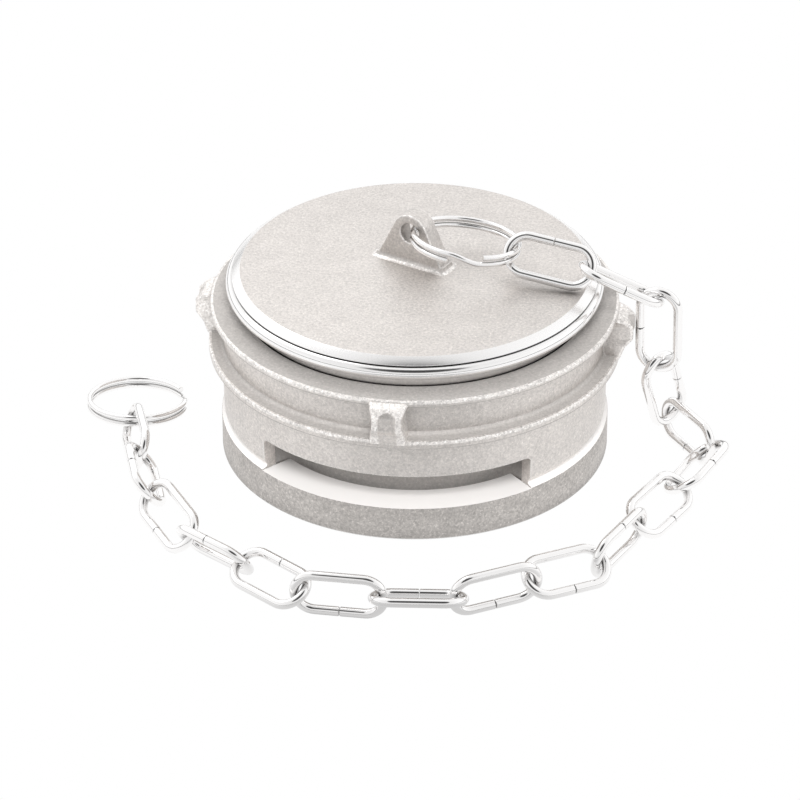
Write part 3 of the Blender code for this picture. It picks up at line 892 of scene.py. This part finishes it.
def node_axes(node):
    """(centre, long way, wide way, normal) of a flat ring-like node, from its points at rest."""
    points = mesh_points(FRAME_NODES[node].data)
    centre = (points.max(0) + points.min(0)) / 2
    for _ in range(6):
        _, _, ways = np.linalg.svd(points - points.mean(0), full_matrices=False)
        local = (points - centre) @ ways.T
        centre = centre + ((local.max(0) + local.min(0)) / 2) @ ways
    return centre, *ways


def link_wire(number):
    """One link: a straight-sided loop that starts and ends at the split in the middle of one side."""
    node = f"chain_link_{number:02d}"
    centre, long, wide, normal = node_axes(node)
    up = SPLIT_SIDE_UP.get(number, number % 2 == 0)
    wide = wide if (wide[2] > 0) == up else -wide
    bow = (LINK["width"] - LINK["wire"]) / 2
    straight = LINK["length"] / 2 - LINK["wire"] / 2 - bow
    split = LINK["split"] / 2
    turn = np.linspace(-np.pi / 2, np.pi / 2, BOW_STEPS)
    far = np.stack([straight + bow * np.cos(turn), -bow * np.sin(turn)], -1)
    sides = np.array([[split, bow], [straight / 2, bow]])
    back = np.array([[straight / 2, -bow], [-straight / 2, -bow]])
    path = np.vstack([sides, far, back, -far, [[-straight / 2, bow], [-split, bow]]]) * MM
    points = centre + path[:, :1] * long + path[:, 1:] * wide
    return node, sweep(node + "_wire", points, normal, LINK["wire"] / 2 * FACET_FIT * MM)


for number in range(1, LINK_COUNT + 1):
    node, wire = link_wire(number)
    hand_over(wire, node, node, BRIGHT_WIRE)
print("links:", LINK_COUNT)

# %% [markdown]
# ## Split rings
#
# A split ring takes its plane and its level from its CAD node, and its centre from a circle fitted
# to the node's points. Angles are in degrees: where the wire starts and ends, how long the step from
# one turn to the other is, and how far the whole ring is turned.

# %% Split rings
SPLIT_RING = {"wire": 1.8, "space": 0.3, "end": 19, "step": 34, "turned": -74, "steps": 300, "sides": 18}


def split_ring(node, outer):
    """Two turns of wire, one above the other, with a step from the upper to the lower one.

    The height falls by lift * (1 - 2 (3 s^2 - 2 s^3)), where s goes from 0 to 1 over the step.
    """
    pin = next(np.array(row["pos_m"]) for row in RECORD["behaviour"]["joints"] if row["child"] == node)
    _, _, _, normal = node_axes(node)
    normal = normal if normal[2] > 0 else -normal
    points = mesh_points(FRAME_NODES[node].data)
    above = (points - pin) @ normal
    flat = points - above[:, None] * normal
    system = np.column_stack([2 * (flat - pin), np.ones(len(flat))])
    fit = np.linalg.lstsq(system, ((flat - pin) ** 2).sum(1), rcond=None)[0][:3]
    level = (above.max() + above.min()) / 2
    centre = pin + fit - fit @ normal * normal + level * normal
    long = centre - pin
    long -= long @ normal * normal
    long /= np.linalg.norm(long)
    wide = np.cross(normal, long)
    wire, end = SPLIT_RING["wire"], math.radians(SPLIT_RING["end"])
    radius, lift = (outer - wire) / 2 * MM, (wire + SPLIT_RING["space"]) / 2 * MM
    turn = np.linspace(end, 4 * math.pi - end, SPLIT_RING["steps"])
    share = np.clip((turn - 2 * np.pi) / math.radians(SPLIT_RING["step"]) + 0.5, 0, 1)
    height = lift * (1 - 2 * share * share * (3 - 2 * share))
    angle = (turn + math.radians(SPLIT_RING["turned"]))[:, None]
    path = centre + radius * (np.cos(angle) * long + np.sin(angle) * wide) + height[:, None] * normal
    made = sweep(node + "_wire", path, normal, wire / 2 * FACET_FIT * MM, SPLIT_RING["sides"])
    hand_over(made, node, node, BRIGHT_WIRE)


split_ring("ear_split_ring", 34.5)
split_ring("end_split_ring", 32.0)
print("split rings: 2")

# %% [markdown]
# ## Light and floor
#
# The photograph has a pure white ground with no shadow, and bright metal that mirrors a white
# tent with a few grey parts. The floor is white to the camera and grey near the cap's front to what
# mirrors it. A stop is (position, brightness): the tent's go from straight down to straight up, from
# front to back, and by how nearly a direction points along the dark way.

# %% Room
DULL_SPOT = (0.02, -0.17, 0)
DULL_STOPS = [(0.0, 0.52), (0.05, 0.60), (0.13, 1.0)]
FLOOR_HALF, FLOOR_DROP = 4, 5e-5
DARK_WAY = (0.07, -0.57, 0.82)
DARK_STOPS = [(0.0, 1.0), (0.895, 1.0), (0.945, 0.12), (1.0, 0.08)]
HEIGHT_STOPS = [(0.42, 0.9), (0.48, 0.25), (0.52, 0.25), (0.56, 1.0), (0.62, 1.15), (0.78, 1.04), (1.0, 0.95)]
DEPTH_STOPS = [(0.0, 0.75), (0.35, 0.9), (0.6, 1.0), (1.0, 1.0)]


def ramp(tree, factor, stops):
    """A colour ramp over (position, brightness) stops."""
    node = tree.nodes.new("ShaderNodeValToRGB")
    node.color_ramp.interpolation = "EASE"
    while len(node.color_ramp.elements) < len(stops):
        node.color_ramp.elements.new(0.5)
    for element, (position, value) in zip(node.color_ramp.elements, stops):
        element.position = position
        element.color = (value, value, value, 1)
    tree.links.new(factor, node.inputs[0])
    return node.outputs[0]


def white_to_camera(name, mirrored):
    """A sheet that is white to the camera, dull to everything else, and clear from below."""
    material = bpy.data.materials.new(name)
    material.use_nodes = True
    tree = material.node_tree
    tree.nodes.clear()
    out = tree.nodes.new("ShaderNodeOutputMaterial")
    mix = tree.nodes.new("ShaderNodeMixShader")
    path = tree.nodes.new("ShaderNodeLightPath")
    glow = tree.nodes.new("ShaderNodeEmission")
    dull = tree.nodes.new("ShaderNodeEmission")
    place = tree.nodes.new("ShaderNodeTexCoord").outputs["Object"]
    apart = tree.nodes.new("ShaderNodeVectorMath")
    apart.operation = "DISTANCE"
    apart.inputs[1].default_value = DULL_SPOT
    tree.links.new(place, apart.inputs[0])
    tree.links.new(ramp(tree, apart.outputs["Value"], mirrored), dull.inputs["Color"])
    tree.links.new(path.outputs["Is Camera Ray"], mix.inputs[0])
    tree.links.new(dull.outputs[0], mix.inputs[1])
    tree.links.new(glow.outputs[0], mix.inputs[2])
    below = tree.nodes.new("ShaderNodeMixShader")
    tree.links.new(tree.nodes.new("ShaderNodeNewGeometry").outputs["Backfacing"], below.inputs[0])
    tree.links.new(mix.outputs[0], below.inputs[1])
    tree.links.new(tree.nodes.new("ShaderNodeBsdfTransparent").outputs[0], below.inputs[2])
    tree.links.new(below.outputs[0], out.inputs[0])
    return material


floor_mesh = bpy.data.meshes.new("floor")
near, far = -FLOOR_HALF, FLOOR_HALF
floor_corners = [(near, near), (far, near), (far, far), (near, far)]
floor_mesh.from_pydata([(x, y, -FLOOR_DROP) for x, y in floor_corners], [], [(0, 1, 2, 3)])
floor = add("floor", floor_mesh)
floor.data.materials.append(white_to_camera("floor_white", DULL_STOPS))


def unit_half(tree, value):
    """A value from -1 to 1 as one from 0 to 1."""
    return math_node(tree, "ADD", math_node(tree, "MULTIPLY", value, 0.5), 0.5)


def tent():
    """The white tent, white to the camera itself.

    Brightness = by height * by depth * the dark patch where the camera stands.
    """
    world = bpy.data.worlds.new("tent")
    world.use_nodes = True
    bpy.context.scene.world = world
    tree = world.node_tree
    tree.nodes.clear()
    place = tree.nodes.new("ShaderNodeTexCoord").outputs["Generated"]
    parts = tree.nodes.new("ShaderNodeSeparateXYZ")
    tree.links.new(place, parts.inputs[0])
    by_height = ramp(tree, unit_half(tree, parts.outputs[2]), HEIGHT_STOPS)
    by_depth = ramp(tree, unit_half(tree, parts.outputs[1]), DEPTH_STOPS)
    toward = tree.nodes.new("ShaderNodeVectorMath")
    toward.operation = "DOT_PRODUCT"
    toward.inputs[1].default_value = DARK_WAY
    tree.links.new(place, toward.inputs[0])
    patch = ramp(tree, toward.outputs["Value"], DARK_STOPS)
    scaled = by_height
    for factor in (by_depth, patch):
        scale = tree.nodes.new("ShaderNodeVectorMath")
        scale.operation = "MULTIPLY"
        tree.links.new(scaled, scale.inputs[0])
        tree.links.new(factor, scale.inputs[1])
        scaled = scale.outputs[0]
    shade = tree.nodes.new("ShaderNodeBackground")
    tree.links.new(scaled, shade.inputs["Color"])
    white = tree.nodes.new("ShaderNodeBackground")
    path = tree.nodes.new("ShaderNodeLightPath")
    mix = tree.nodes.new("ShaderNodeMixShader")
    out = tree.nodes.new("ShaderNodeOutputWorld")
    tree.links.new(path.outputs["Is Camera Ray"], mix.inputs[0])
    tree.links.new(shade.outputs[0], mix.inputs[1])
    tree.links.new(white.outputs[0], mix.inputs[2])
    tree.links.new(mix.outputs[0], out.inputs[0])


def soft_light(name, place, aim, size, power, mirrored=True):
    """A square area light at place, facing aim. It can be left out of reflections."""
    light = bpy.data.lights.new(name, "AREA")
    light.size = size
    light.energy = power
    obj = bpy.data.objects.new(name, light)
    bpy.context.scene.collection.objects.link(obj)
    obj.location = place
    obj.visible_glossy = mirrored
    obj.rotation_euler = (Vector(aim) - Vector(place)).to_track_quat("-Z", "Y").to_euler()


tent()
soft_light("key", (-0.5, 0.35, 0.9), (0, 0, 0.03), 0.5, 1.4)
soft_light("front", (0.1, -0.8, 0.85), (0, -0.05, 0.012), 0.5, 17.0, False)
print("room made")

# %% [markdown]
# ## Camera
#
# The camera stands where the one of the photograph did, as the ellipses of the lid and the ring
# show. It looks at a point on the cap's axis, from an angle to the right and above.

# %% Camera
CAMERA = {
    "turn": 7.3,
    "rise": 30.64,
    "distance": 1.501,
    "lens": 217.47,
    "shift": (-0.0186, -0.0577),
    "aim_z": 0.030,
    "clip": (0.05, 20),
}
scene = bpy.context.scene
camera = bpy.data.objects.new("camera", bpy.data.cameras.new("camera"))
scene.collection.objects.link(camera)
turn, rise = math.radians(CAMERA["turn"]), math.radians(CAMERA["rise"])
level = CAMERA["distance"] * math.cos(rise)
height = CAMERA["aim_z"] + CAMERA["distance"] * math.sin(rise)
camera.location = (level * math.sin(turn), -level * math.cos(turn), height)
camera.rotation_euler = (math.pi / 2 - rise, 0, turn)
camera.data.lens = CAMERA["lens"]
camera.data.sensor_width = 36
camera.data.shift_x, camera.data.shift_y = CAMERA["shift"]
camera.data.clip_start, camera.data.clip_end = CAMERA["clip"]
scene.camera = camera
scene.view_settings.view_transform = "Standard"
print("camera at", tuple(round(v, 3) for v in camera.location))
